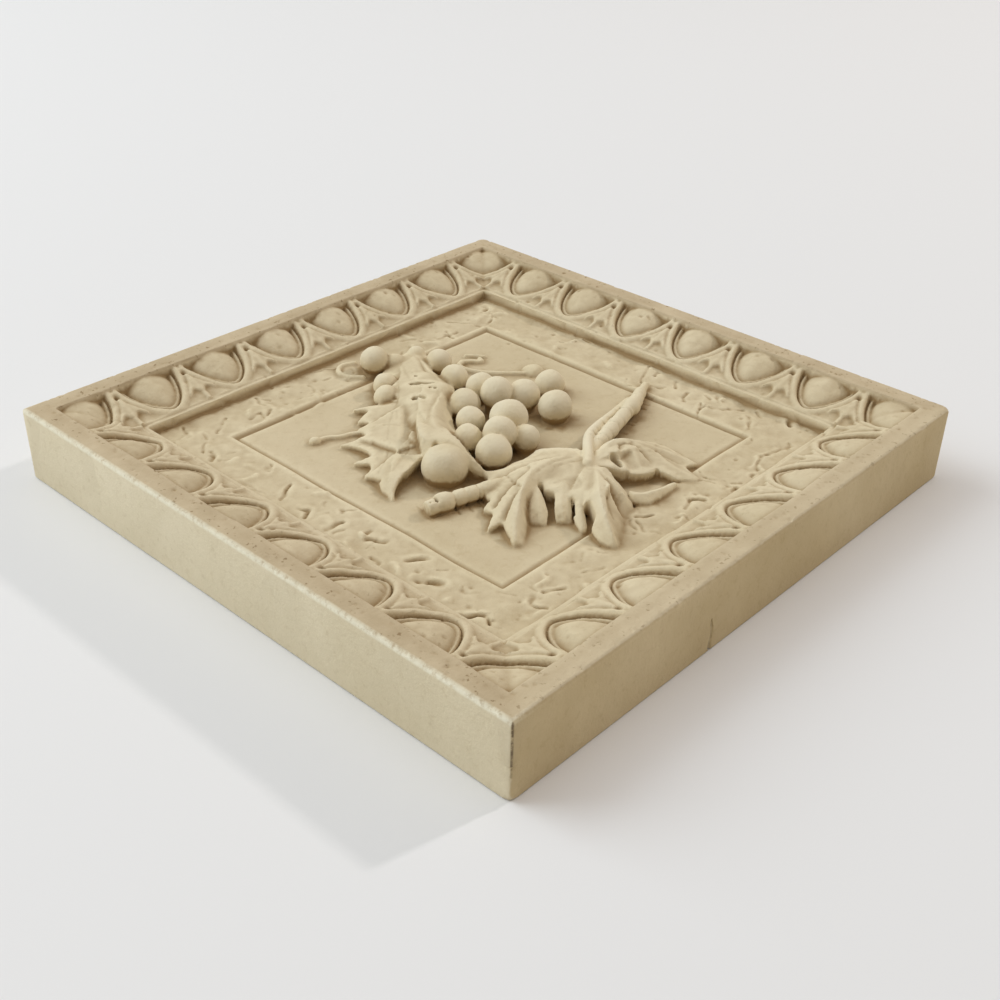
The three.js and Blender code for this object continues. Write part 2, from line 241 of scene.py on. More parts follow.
def read_off(heights, gx, gy):
    """Height of a sheet at places between its grid points."""
    gx, gy = np.clip(gx, 0, heights.shape[0] - 1.001), np.clip(gy, 0, heights.shape[1] - 1.001)
    i, j = gx.astype(int), gy.astype(int)
    fx, fy = gx - i, gy - j
    near = heights[i, j] * (1 - fy) + heights[i, j + 1] * fy
    far = heights[i + 1, j] * (1 - fy) + heights[i + 1, j + 1] * fy
    return near * (1 - fx) + far * fx


from_middle = np.abs((along + 0.25 * waves(9, 3)) % PITCH - PITCH / 2)
below_lip = inward - RIM + 0.2 * waves(11, 4)
carved = read_off(carved_unit(), from_middle / FINE, below_lip / FINE)
carved += 0.16 * waves(3.6, 71) + 0.09 * waves(1.5, 72)
in_band = (inward > RIM) & (inward < FILLET_OUT + 0.4)
top = np.where(in_band, np.maximum(top * (inward > FILLET_OUT - FILLET_WALL), carved), top)
lip_face = THICK - (inward - RIM) * LIP_STEEP
top = np.where(inward > RIM, np.maximum(top, lip_face), top)

# ---------------------------------------------------------------- bed with worn scrolls
# Between the band and the panel the bed carries a low scroll of leaves, worn nearly flat.
# Only its deepest cuts, its lumps and the pits of air bubbles are left in the plaster.

BED_OUT = HALF - BAND_FOOT    # from the plaque's middle
BED_IN = PANEL_HALF + GROOVE
BED_LUMPS = ((5.7, 0.42), (2.3, 0.1), (1.1, 0.05))      # size and height of each kind
BED_TOP = FILLET + 0.3
CUT_DEEPER = 1.25
SCROLLS = 330                 # tried for, over the whole plaque; those off the bed are left out
BUBBLES = 760
bed_end = HALF - BED_IN
on_bed = ramp(inward, BAND_FOOT, BAND_FOOT + 0.8) * (1 - ramp(inward, bed_end - 2.1, bed_end - 0.2))
top += on_bed * sum(high * waves(size, 5 + n) for n, (size, high) in enumerate(BED_LUMPS))
top += 0.05 * waves(6, 8) + 0.03 * waves(2, 9)

# Each cut runs through the points of a short stroke on the bed: width, depth, then x and y.
cuts = [
    (1.6, 0.9, [(71, 57.5), (67.2, 61)]), (1.5, 0.9, [(65.3, 43.5), (69, 38.5)]),
    (1.2, 0.6, [(70.5, 25), (69.5, 22)]), (1.7, 1.1, [(64, 30.6), (60.3, 33)]),
    (1.7, 1.1, [(65.2, 15), (62.3, 18.6)]), (1.0, 0.6, [(64, 13), (61, 12)]),
    (1.3, 0.8, [(70, 3.5), (64.5, 4)]), (1.1, 0.7, [(70, -6), (67, -8), (68.5, -10.5)]),
    (1.0, 0.6, [(68.5, -17.5), (65, -19.5), (61, -22.5)]), (1.4, 0.6, [(61.5, -33), (60, -34)]),
    (1.1, 0.6, [(69, -49), (67, -51.5), (66.5, -53)]), (0.9, 0.5, [(68.5, -55), (64.5, -58.5)]),
    (1.2, 0.7, [(-72.5, 61), (-70, 62)]), (0.9, 0.5, [(-60, 69), (-55, 68), (-50, 66.5)]),
    (0.9, 0.5, [(-50, 66.5), (-44, 67.5), (-40, 69.5)]), (1.1, 0.7, [(-37.5, 70.8), (-36, 71)]),
    (1.0, 0.7, [(-28, 71), (-26, 71.6)]), (1.0, 0.8, [(-16, 69), (-13, 65.5), (-8, 67)]),
    (0.9, 0.7, [(1, 63.5), (5.5, 59.8)]), (1.0, 0.6, [(45, 68), (50, 65)]),
    (1.1, 0.7, [(54.5, 70), (55.5, 66), (53, 63.5)]), (1.1, 0.8, [(69, 64), (67, 60.5), (72, 57)]),
    (0.9, 0.6, [(-60, 54), (-66, 49)]), (0.9, 0.5, [(-59.5, 35), (-62, 33.5)]),
    (0.9, 0.5, [(-60, 28), (-62.5, 25.5), (-66, 25)]), (1.0, 0.5, [(-65.5, 21), (-70, 18)]),
    (1.3, 0.8, [(-68, 10.5), (-70.5, 9.5)]), (0.8, 0.5, [(-61.5, 9.5), (-66, 8), (-72, 5)]),
    (1.5, 0.8, [(-70.5, 61.5), (-72, 60.8)]), (1.6, 0.8, [(-66, -65.5), (-68, -67.5)]),
    (0.9, 0.5, [(-41, -58), (-43, -63)]), (0.9, 0.5, [(40.5, -59), (37.5, -61.5)]),
    (0.9, 0.5, [(42, -58.5), (41, -62), (46, -61)]), (0.9, 0.5, [(37.3, -65), (36, -71)]),
    (0.8, 0.5, [(58, -61.5), (51, -67)]), (0.9, 0.5, [(66, -65), (63.5, -71)]),
    (0.8, 0.4, [(-70, 45), (-64, 40), (-62, 36)]), (0.8, 0.4, [(30, 69), (36, 66)]),
    (0.8, 0.4, [(-30, -66), (-26, -69)]), (0.8, 0.4, [(-55, -62), (-49, -68)]),
]


def along_line(points, step):
    """Points at an even step on straight lines through the given ones."""
    points = np.array(points, float)
    runs = np.hypot(*(points[1:, :2] - points[:-1, :2]).T)
    reach = np.concatenate([[0], np.cumsum(runs)])
    at = np.linspace(0, reach[-1], max(2, int(reach[-1] / step) + 1))
    return np.stack([np.interp(at, reach, points[:, k]) for k in range(points.shape[1])], 1)


def span(low, high):
    """The slice of the grid between two places."""
    return slice(max(0, int((low - xs[0]) / GRAIN)), min(len(xs), int((high - xs[0]) / GRAIN) + 2))


def window(points, margin):
    """The part of the grid that covers some points, with a margin."""
    lows, highs = np.min(points, 0) - margin, np.max(points, 0) + margin
    return span(lows[0], highs[0]), span(lows[1], highs[1])


wander_x, wander_y = X + 0.7 * waves(2.4, 61), Y + 0.7 * waves(2.7, 62)
worn_away = np.clip(0.75 + 0.6 * waves(1.9, 63), 0.15, 1.2)
pushed_up = 0.25 * (0.5 + 0.5 * waves(3.1, 64))


def stroke_on(top, width, depth, points):
    """Presses one stroke into the sheet, or raises it when the depth is negative."""
    line = along_line(points, 0.4)
    spot = window(line, 3)
    away = np.min([np.hypot(wander_x[spot] - a, wander_y[spot] - b) for a, b in line], axis=0)
    top[spot] -= depth * worn_away[spot] * np.exp(-((away / (0.5 * width)) ** 2))
    burr = np.exp(-(((away - 1.2 * width) / (0.7 * width)) ** 2))
    top[spot] += max(depth, 0) * pushed_up[spot] * burr


for width, depth, stroke in cuts:
    stroke_on(top, width, CUT_DEEPER * depth, stroke)

# The rest of the worn scroll: low raised curls and fine scratches round the bed.
rng = np.random.default_rng(23)
for index in range(SCROLLS):
    px, py = rng.uniform(-BED_OUT, BED_OUT, 2)
    if not BED_IN + 1 < max(abs(px), abs(py)) < BED_OUT - 1:
        continue
    turn, bend = rng.uniform(0, math.pi), rng.uniform(-0.5, 0.5)
    stroke = [(px, py)]
    for _ in range(rng.integers(2, 5)):
        px, py = px + 1.5 * math.cos(turn), py + 1.5 * math.sin(turn)
        stroke.append((px, py))
        turn += bend
    if index % 3:
        stroke_on(top, rng.uniform(0.5, 0.9), rng.uniform(0.2, 0.6), stroke)
    else:
        stroke_on(top, rng.uniform(1.4, 2.6), -rng.uniform(0.3, 0.75), stroke)
top = np.where(on_bed > 0, np.minimum(top, BED_TOP), top)

# Air bubbles and small knocks: more on the rim and the bed than on the panel.
rng = np.random.default_rng(11)
for index in range(BUBBLES):
    px, py = rng.uniform(-HALF + 0.6, HALF - 0.6, 2)
    size = rng.uniform(0.3, 0.7)
    if index % 3 == 0:
        px, py = rng.permutation([px, math.copysign(HALF - rng.uniform(0.8, RIM), py)])
        size = rng.uniform(0.3, 0.5)
    deep = HALF - max(abs(px), abs(py))
    if deep > 43 and rng.random() < 0.93:
        continue
    spot = window([(px, py)], 2)
    away = np.hypot(X[spot] - px, (Y[spot] - py) * rng.uniform(0.7, 1.3))
    top[spot] -= size * rng.uniform(0.5, 1.0) * np.exp(-((away / size) ** 2))

# ---------------------------------------------------------------- the body that the relief grows on
# The relief is worked as one lump of plaster: a field of distances, negative inside, so that
# fruit, leaves and ground run into each other with the small fillets that a mould leaves.

slope_x, slope_y = np.gradient(top, GRAIN)
steep = np.sqrt(1 + slope_x**2 + slope_y**2)
body = ((zs[None, None, :] - top[:, :, None]) / steep[:, :, None]).astype(np.float32)


def blend_in(near, other, soft):
    """Joins two solids with a fillet about as wide as soft."""
    share = np.clip(0.5 + 0.5 * (near - other) / soft, 0, 1)
    return near * (1 - share) + other * share - soft * share * (1 - share)


def add_solid(spot, field, soft):
    body[spot] = blend_in(body[spot], field, soft).astype(np.float32)


# ---------------------------------------------------------------- grapes
# A bunch of grapes hangs under the twig. Each is a full ball of plaster, cast with the ground on
# a short hidden neck, slightly out of round, with a crease where it meets its neighbours.

NECK_SHARE = 0.72             # width of the hidden neck
NECK_SOFT = 0.6

# Centre x, y, height of the centre, radius.
grapes = [
    (27.4, 6.8, 17.6, 7), (12.8, 12.5, 19, 5.4), (12.5, 1.6, 19, 4.5), (4.1, -5.4, 19, 4.5),
    (-2.8, 4, 21, 5.8), (5.9, 8.4, 21, 5.2), (-0.9, 12.5, 18, 4.4), (-12.9, -10.4, 20.5, 5.3),
    (-20, -5.5, 19, 5.3), (-22.4, 5.7, 18, 5.4), (-34.5, -7.5, 16.5, 5), (-15.1, -19.5, 18.5, 4.8),
    (-4.5, -58.4, 18, 4.7), (-19.6, -43.3, 17.5, 4.2), (-13.6, -29.8, 18.5, 4.6), (-3, -15, 18.5, 5),
    (-18.9, -53.2, 17, 3), (-9.8, -54.1, 16, 4), (2.7, -45, 16, 4.2), (8.3, -38.9, 16, 4.2),
    (-42.4, -21.4, 11.5, 4.5),
]


def grape(x, y, height, radius, soft=0.5):
    spot = window([(x, y)], radius + 2)
    dx, dy = X[spot][:, :, None] - x, Y[spot][:, :, None] - y
    dz = zs[None, None, :] - height
    across = np.sqrt(dx**2 + dy**2)
    uneven = (0.26 * waves(3.7, 21, X[spot], Y[spot]) + 0.06 * waves(1.3, 22, X[spot], Y[spot]))
    uneven = uneven[:, :, None]
    ball = np.sqrt(dx**2 + dy**2 + dz**2) - radius + uneven
    neck = np.maximum(across - NECK_SHARE * radius, dz)
    add_solid(spot, blend_in(ball, neck, NECK_SOFT), soft)


for x, y, height, radius in grapes:
    grape(x, y, height, radius)

# ---------------------------------------------------------------- leaves
# Two vine leaves are folded over the bunch. Each is modelled as thin sheets with toothed
# outlines that hang from raised folds; the walls lean in below the edge and show dark.

UNDERCUT = 0.22               # lean of the wall below the edge
BLADE = 0.8                   # thickness of the edge above the lean
CORNER_CUT = 0.14             # how much of each side is lost at a tooth's point


def rounded(points, times=3):
    """Cuts the corners of a line so that it bends smoothly."""
    points = np.array(points, float)
    for _ in range(times):
        if len(points) < 3:
            break
        cut = np.empty((2 * len(points) - 2, points.shape[1]))
        cut[0::2] = 0.75 * points[:-1] + 0.25 * points[1:]
        cut[1::2] = 0.25 * points[:-1] + 0.75 * points[1:]
        points = np.vstack([points[:1], cut, points[-1:]])
    return points


def nearest_on(line, px, py):
    """Distance to a line of points, and the height of the line at the nearest one."""
    away = np.full(px.shape, 1e9)
    height = np.zeros(px.shape)
    for a, b, c in along_line(line, 0.5):
        here = (px - a) ** 2 + (py - b) ** 2
        closer = here < away
        away[closer] = here[closer]
        height[closer] = c
    return np.sqrt(away), height


def is_inside(outline, px, py):
    inside = np.zeros(px.shape, bool)
    for (ax, ay, _), (bx, by, _) in zip(outline, np.roll(outline, -1, 0)):
        if ay != by:
            crosses = (ay > py) != (by > py)
            inside ^= crosses & (px < ax + (py - ay) / (by - ay) * (bx - ax))
    return inside


def sheet(outline, folds, bulge=1.2, soft=0.9):
    """A leaf blade: the heights run from its folds down to the heights of its outline."""
    outline = np.array(outline, float)
    after, before = np.roll(outline, -1, 0), np.roll(outline, 1, 0)
    kept = 1 - CORNER_CUT
    outline = np.stack([kept * outline + CORNER_CUT * before, kept * outline + CORNER_CUT * after], 1)
    outline = outline.reshape(-1, 3)
    spot = window(outline, 3)
    px = X[spot] + 0.18 * waves(2.6, 51, X[spot], Y[spot])
    py = Y[spot] + 0.18 * waves(2.6, 52, X[spot], Y[spot])
    edge_away, edge_height = nearest_on(np.vstack([outline, outline[:1]]), px, py)
    inside = is_inside(outline, px, py)
    fold_away, fold_height = np.full(px.shape, 1e9), np.zeros(px.shape)
    for fold in folds:
        away, height = nearest_on(rounded(fold, 2), px, py)
        closer = away < fold_away
        fold_away[closer], fold_height[closer] = away[closer], height[closer]
    within = np.where(inside, edge_away, 0)
    share = (fold_away / (fold_away + within + 1e-6)) ** bulge
    height = fold_height + (edge_height - fold_height) * share
    height += 0.10 * waves(3.2, 53, px, py) + 0.05 * waves(1.3, 54, px, py)
    outside = np.where(inside, -edge_away, edge_away)[:, :, None]
    under = np.clip(height[:, :, None] - BLADE - zs[None, None, :], 0, 5)
    gx, gy = np.gradient(height, GRAIN)
    skin = (zs[None, None, :] - height[:, :, None]) / np.sqrt(1 + gx**2 + gy**2)[:, :, None]
    blade = -blend_in(-skin, -(outside + UNDERCUT * under), 0.6)
    add_solid(spot, blade, soft)


def dig(width, floor, line):
    """Cuts a slot of that width down to a floor."""
    line = np.array([(*point, 0) for point in line], float)
    spot = window(line, width + 2)
    away, _ = nearest_on(line, X[spot], Y[spot])
    away = away + 0.2 * waves(1.7, 55, X[spot], Y[spot])
    slot = np.maximum((away - width / 2)[:, :, None], floor - zs[None, None, :])
    body[spot] = -blend_in(-body[spot], slot, 0.3).astype(np.float32)


def score(width, depth, line):
    """Draws a thin vein or crease into the surface."""
    line = rounded(np.array([(*point, 0) for point in line], float), 2)
    spot = window(line, 2)
    away, _ = nearest_on(line, X[spot], Y[spot])
    body[spot] += (depth * np.exp(-((away / (0.6 * width)) ** 2)))[:, :, None].astype(np.float32)


# Upper leaf: the left blade with its four teeth, three tongues, the long middle lobe, and the
# right blade that curls over an opening.
sheet(
    [(-5, 31, 20.5), (-1, 24.5, 20), (2, 20.5, 19), (9, 21, 18.5), (12, 19.5, 18),
     (17, 19, 17.5), (20.5, 15.5, 17), (21.5, 18.5, 16.5), (28.6, 22.6, 15.6), (29, 27, 16.4),
     (33.4, 27.4, 15.2), (33, 31.6, 16.2), (40.3, 35.6, 14.8), (35, 36.7, 16), (37, 40, 15.4),
     (39.8, 45.3, 14.5), (36.8, 46.6, 14), (28.6, 40.6, 14.2), (24.8, 37, 15.5), (18, 35, 18),
     (11, 36, 19.8), (10, 41, 20.3), (3.5, 42, 21)],
    [[(1, 34, 21.5), (4.6, 31.2, 22), (10.8, 30.1, 22.3), (17.8, 30.9, 22.2), (24.3, 34.1, 21.4),
      (28.1, 36.5, 20.4), (31.5, 39.1, 19), (35.8, 41.8, 17.2), (39.3, 45.2, 15.2)],
     [(4.6, 31.2, 21.8), (11, 25, 20.6), (20, 20, 18)],
     [(17, 29, 21.6), (24, 26.5, 18.8), (31, 28.5, 16)],
     [(24, 33, 20.6), (30, 33, 18.4), (38, 35.6, 15.4)]],
    bulge=1.5,
)
sheet(
    [(-3, 36, 21), (1, 33, 21.3), (10, 33, 20.5), (18, 35, 19), (17, 40, 18.8), (15.5, 44, 18.8),
     (15.4, 49, 19), (8, 49, 21), (2, 46, 21)],
    [[(0, 38.5, 22), (7, 37.5, 21.2), (15, 39.5, 20)],
     [(0, 38.5, 22), (7, 44, 21.8), (12, 46, 20.8)]],
)
sheet(
    [(16, 33, 19.5), (20, 34.6, 18.6), (25, 37.2, 16.8), (28.5, 40.5, 14.4), (25.8, 44.8, 14.2),
     (22, 42, 16), (18.6, 37, 18)],
    [[(16.5, 34, 19.8), (21, 37.2, 18.8), (24.5, 41, 17), (26.4, 43.6, 15)]], soft=0.4,
)
sheet(
    [(12, 38, 19.8), (16, 39, 19.2), (20.4, 43, 17.5), (23, 45.4, 15), (22.2, 47, 14.3),
     (20, 49.2, 14.2), (16, 46.3, 17), (13, 43, 19)],
    [[(12, 40, 20.6), (16.5, 42.6, 19.3), (20, 45.4, 17.3), (21.6, 47.4, 15)]], soft=0.5,
)
sheet(
    [(12, 44, 20), (16.5, 46.9, 17.8), (19.8, 49.5, 15.8), (21.6, 53.6, 14.4), (20, 54.9, 14.2),
     (17, 51.6, 16.6), (14, 49.4, 18.6)],
    [[(11, 44.5, 21), (15.6, 48, 19), (18.6, 51, 17), (20.6, 54, 14.8)]], soft=0.4,
)
sheet(
    [(1, 41, 21.2), (8, 44.5, 21), (15.6, 49, 19.4), (17.8, 53, 17.8), (21.2, 57.2, 16),
     (22.8, 61, 15.3), (22.2, 65, 14.6), (20.3, 66.3, 14.2), (13, 61.6, 14.2), (7.4, 58, 14.1),
     (3.5, 57.6, 14.2), (0.5, 55, 15), (-0.6, 51, 17), (-1, 47.3, 18.8), (-2, 43, 20.5)],
    [[(1.5, 41, 21.8), (5, 45, 22.2), (9.9, 49.9, 22.6), (14.8, 54.5, 21.8), (16.8, 57.6, 20.9),
      (18.4, 60, 19.4), (20.3, 63.3, 17.3), (21.2, 65.6, 14.8)],
     [(1, 42, 21.6), (3, 45.8, 21.4), (2.4, 48.5, 21), (3.4, 51.6, 19.8), (3.4, 54, 18)]],
    bulge=1.0, soft=0.5,
)
sheet(
    [(-1, 38, 20.6), (-6.4, 35, 20.8), (-11, 34, 20.6), (-15.6, 33.8, 20.4), (-19, 34.8, 19.6),
     (-25.9, 36.6, 17), (-30.5, 39, 15.4), (-31.5, 44, 15), (-30.6, 49, 15), (-31, 55.4, 14.4),
     (-26, 53.6, 15), (-23.4, 61.5, 14.6), (-18, 57, 15.4), (-15.8, 51, 17.2), (-12, 50.4, 17),
     (-8, 47.6, 17.6), (-5.6, 45.6, 18.6), (-2.5, 43, 20.4), (0, 40.5, 21)],
    [[(-1.3, 38.8, 21.2), (-6.4, 37, 22.1), (-11.7, 36.4, 22.6), (-15.9, 36.6, 22.2),
      (-19.6, 38.6, 20.8), (-25.5, 44, 17.8), (-29.6, 52.6, 15.4)],
     [(-14.7, 40, 21.2), (-15.4, 42.3, 20.8), (-13.6, 45, 19.6), (-12.6, 47.4, 18.2)],
     [(-19, 40, 20.4), (-20, 48, 18), (-22.4, 58, 15.6)], [(-3, 41, 20.8), (-5, 43.6, 20.2)]],
    bulge=0.9, soft=0.5,
)
sheet(
    [(1, 55, 15.4), (-1.6, 58.6, 15), (-8, 59.4, 15.2), (-16, 58.9, 15.6), (-15.4, 57.2, 15.8),
     (-9.5, 56.8, 16), (-4, 55.4, 16.2), (-1, 52, 17)],
    [[(-0.5, 54.4, 17.2), (-7, 57.9, 16.8), (-15, 58.1, 16)]], soft=0.4,
)
dig(2.3, 15.2, [(-7.9, 41), (-7.0, 43.6)])
dig(3.4, 13.9, [(-6.4, 47.8), (-8.4, 51.6), (-10.8, 52.6)])
dig(1.5, 13.9, [(-15.7, 51.2), (-14.3, 54), (-15.2, 56.6)])
dig(1.6, 15.0, [(17.3, 34.9), (18.3, 36.4)])
dig(0.9, 14.5, [(18.2, 36), (20.2, 40.8), (23.4, 44.6)])
dig(1.9, 13.9, [(15.6, 50.6), (18.2, 54.6), (20.6, 55.6)])
dig(0.9, 14.2, [(15.6, 45), (18.6, 48.6)])
for line in (
    [(2, 33.4), (10.8, 31.3), (17.6, 32.2)], [(0, 37.6), (5.5, 34.6), (9.5, 33.4)],
    [(1, 39.5), (0.6, 36), (-1.4, 31.5)], [(6, 33), (9, 27), (14, 22)],
    [(4.6, 47.6), (10.6, 53), (14.6, 59)], [(-9.6, 37.6), (-16.4, 38.8), (-19, 43)],
    [(12, 46.4), (17, 49.8)], [(13.6, 40.6), (19.4, 45.4)],
):
    score(0.5, 0.28, line)

# Lower leaf: a long blade rises from its toothed left side to a fold on the right, forks round
# the front grape into a pointed lobe with a steep side and a thin flap.
sheet(
    [(-18.6, -56.2, 17.6), (-13, -54.8, 18), (-8.4, -55.2, 17), (1.2, -51.4, 15.2), (5, -48.4, 14.8),
     (4.6, -45.2, 15), (1.2, -42.6, 16.6), (4.4, -41.2, 16), (5, -36.6, 16.6), (8.8, -35.6, 16),
     (13, -38.2, 15.6), (20.6, -42.8, 14.8), (17.6, -37, 15.8), (20.4, -36.4, 15.4),
     (24.4, -35, 14.8), (22, -31, 15.8), (27.4, -31.6, 15), (28.6, -25.6, 16), (33, -26.6, 15.4),
     (37.6, -28.6, 14.6), (35.4, -24, 15.4), (34.8, -18.6, 16.2), (36, -15.6, 16), (42, -17.6, 14.8),
     (39, -12.4, 15.8), (40.6, -10.2, 15.6), (44.8, -9.6, 14.8), (43, -5.4, 15.6), (45.6, -0.6, 15),
     (46.8, 5.8, 14.2), (44, 3.2, 15.8), (40.9, 1.5, 17.5), (35.2, 0.3, 17.9), (30.4, -0.9, 18.4),
     (27.6, 0.8, 21.4), (25, 0.4, 23.2), (23, 2, 23.6), (14, 0.6, 18), (9, -7.4, 18),
     (3.6, -14.2, 17.6), (-4, -19.6, 17.4), (-9, -25, 17.8), (-11.4, -31, 17.6), (-13.6, -40, 17),
     (-20.4, -48.6, 17), (-21.4, -52, 17)],
    [[(-16.4, -53, 18.6), (-14, -45.5, 19.2), (-9, -36.1, 20), (-6, -28.8, 20.8), (-2, -23.6, 21.6),
      (4, -18.6, 22.3), (10.5, -14.8, 22.9), (16.6, -9.4, 23.4), (21.6, -2.6, 24)],
     [(-13, -51, 18.8), (-4, -44, 18.6), (2, -37, 18.8), (9, -29, 19), (18, -22, 19), (27, -13, 19.2),
      (35, -5, 18.4), (41, -0.8, 17.6), (45.4, 3.6, 15.2)],
     [(10, -28, 18.8), (14, -34, 17.2), (19.4, -41, 15.4)],
     [(31, -8, 17.8), (36, -13.6, 16.4), (41.4, -17.2, 14.9)],
     [(2, -38, 18.4), (1, -44, 17), (3.6, -47.4, 15.6)]],
    bulge=1.25,
)
sheet(
    [(20, -5, 23), (25, -1, 23.4), (24.6, 4, 23.2), (25, 7, 22.4), (24.4, 10.4, 20.8), (22.8, 14, 18.2),
     (19.6, 17.4, 15.4), (18.6, 13, 16.6), (16.4, 7, 17), (14, 0.8, 18), (15, -5, 20.5)],
    [[(19, -6, 23.6), (21.9, -0.4, 24.2), (22.8, 5.5, 23.9), (22.4, 10.6, 22.2), (20.6, 15.6, 18)]],
    bulge=1.0, soft=0.6,
)
sheet(
    [(-16.5, -52, 18), (-8, -49.6, 18.6), (-0.4, -42, 18.8), (6.8, -40, 18.2), (7.6, -37.2, 18.6),
     (8.4, -33, 18.4), (13.4, -28.6, 17.6), (15, -24, 17.4), (18, -20, 17.8), (19, -16, 18.8),
     (18.6, -9, 22), (10.4, -15.6, 22), (5.6, -18.6, 21.6), (-0.6, -20.8, 21.2), (-5.4, -25.8, 20.8),
     (-7.2, -31.4, 20.2), (-8, -38, 19.6), (-13.6, -46, 19)],
    [[(-13, -48, 19.6), (-6, -38, 20.4), (-2.4, -29, 21.4), (2, -23.6, 22.2), (8, -19.4, 22.4),
      (14, -14.6, 22.8), (18.6, -9.6, 23.4)]],
    bulge=1.9, soft=0.3,
)

# Fruit that is hidden below the blade swells it softly.
SWELLING_SOFT = 2.2
for x, y, height, radius in (
    (-1.2, -24.6, 18.6, 4.2), (-6, -35, 17.2, 3.2), (-4.6, -17, 15.4, 4.4)
):
    grape(x, y, height, radius, SWELLING_SOFT)
dig(1.7, 16.6, [(1.5, -34), (-0.4, -30.6), (-1.9, -27.6)])
dig(1.9, 17.2, [(8.3, -25.9), (7.4, -22.6)])
dig(0.9, 17.5, [(-3.4, -37.4), (-3.2, -36.6)])
dig(0.7, 19.4, [(1.4, -25.8), (0.9, -24)])
dig(1.1, 17.6, [(32.1, -7.6), (31.8, -6.8)])
dig(1.0, 14.6, [(43.6, -4.4), (43.4, -3.8)])
for line in (
    [(23, -24), (21.2, -19)], [(19.4, -17.2), (20.6, -13), (20.4, -9.4)],
    [(15, -27), (18.8, -22.6)], [(24.6, -6.8), (23.4, -7.6), (22.2, -6.6)],
    [(2, -40), (9, -32), (19, -25.6), (29, -16)], [(30, -14), (36, -9), (42, -6)],
    [(-8, -49), (-4, -43), (-1, -38)], [(26, -9), (33, -4.6), (40, -2.4)],
):
    score(0.45, 0.26, line)

# ---------------------------------------------------------------- twig, stalk and tendrils
# A twig crosses the panel behind the leaves, cut off square at one end, with ring scars, and the
# stalk of the leaves runs beside it. Thin tendrils lie on the panel. All are cast with it.

# Radius, then x, y and height of the middle.
cords = [
    (2.4, [(44, 17, 15.4), (34, 19.5, 15.8), (24, 23, 16.2), (8, 31, 17), (-6, 34.5, 17.4)]),
    (2.4, [(-4, 33.5, 17.4), (-14, 29.8, 17.4), (-25, 26.4, 17.2), (-37, 22.6, 16.8),
           (-46, 19.4, 16.4)]),
    (2.1, [(-44, 20.1, 16.5), (-49, 17.9, 16), (-53, 15.8, 15.4)]),
    (1.4, [(-52, 16.4, 15.4), (-56, 14.4, 14.8), (-60, 12.6, 14.2)]),
    (1.6, [(2, 39.2, 21.6), (-3, 35.4, 21.2), (-8, 30.8, 20.4), (-15, 25.6, 18.8), (-22, 22.9, 17.6),
           (-30, 20.9, 16.6), (-40, 18.3, 15.6), (-46, 16.6, 15)]),
    (3.0, [(39.6, 17.8, 15.6), (38.4, 18.2, 15.6)]),
    (2.8, [(-40.6, 21.5, 16.6), (-42, 21, 16.5)]),
    (0.9, [(40, -36, 13.9), (36, -35.5, 13.9), (33, -32.5, 13.9), (29.5, -32, 13.9), (26, -29, 14)]),
    (1.6, [(40, -36, 13.9), (40.6, -36.2, 13.9)]),
    (0.9, [(2, -57, 14.4), (5, -60, 14.4), (6, -65, 14.4), (2, -69, 14.4), (-3, -67, 14.4)]),
    (1.0, [(-40, -21, 13.7), (-31, -30, 13.7), (-27, -36, 13.8), (-26.6, -41.5, 14),
           (-30, -42.5, 14)]),
    (0.9, [(-30, -42.5, 14), (-32.6, -40.8, 14), (-35, -37.6, 13.9), (-36, -40, 13.9)]),
    (0.8, [(-34.4, -45, 13.9), (-36.6, -42.8, 13.9), (-38.4, -40.4, 13.8)]),
]


def cord(radius, points, soft):
    line = rounded(points)
    spot = window(line, radius + 2)
    away, height = nearest_on(line, X[spot], Y[spot])
    bark = 0.06 * radius * waves(2.3, 31, X[spot], Y[spot]) * (radius > 2)
    dz = zs[None, None, :] - height[:, :, None]
    field = np.sqrt(away[:, :, None] ** 2 + dz**2) - (radius + bark)[:, :, None]
    add_solid(spot, field, soft)


for radius, points in cords:
    cord(radius, points, 0.3)

# Ring scars and bark creases on the twig, and the splintered cut at its left end.
RING_DEPTH = 0.6
RING_REACH = 3.0
rings = [(36.5, 1), (33, 0.7), (29.5, 1), (28.4, 0.7), (21, 0.7), (-14, 0.8), (-17.5, 1), (-21, 0.7),
         (-26, 1), (-30, 0.7), (-36, 1), (-38, 0.7), (-47, 1), (-50, 0.7), (-55, 0.8)]
for x, share in rings:
    y = 17 - 0.42 * (x - 44) if x > 0 else 33.5 + 0.339 * (x + 4)
    across = math.copysign(RING_REACH, -x)
    score(0.5, RING_DEPTH * share, [(x - 1.2, y + across), (x + 0.3, y), (x + 1.2, y - across)])
dig(4.4, 13.6, [(45.3, 10.5), (48, 21.5)])
dig(0.5, 15.6, [(41.0, 15.6), (42.2, 19.6)])
dig(0.6, 16.2, [(44.6, 17.4), (41.6, 18.2)])
dig(0.7, 14.4, [(-28, 23.0), (-38, 20.2)])

# ---------------------------------------------------------------- worn outline
# The four sides stand square to the back. The edges are softened by handling, two corners are
# rounder than the others, and small chips are out of the upper edges.

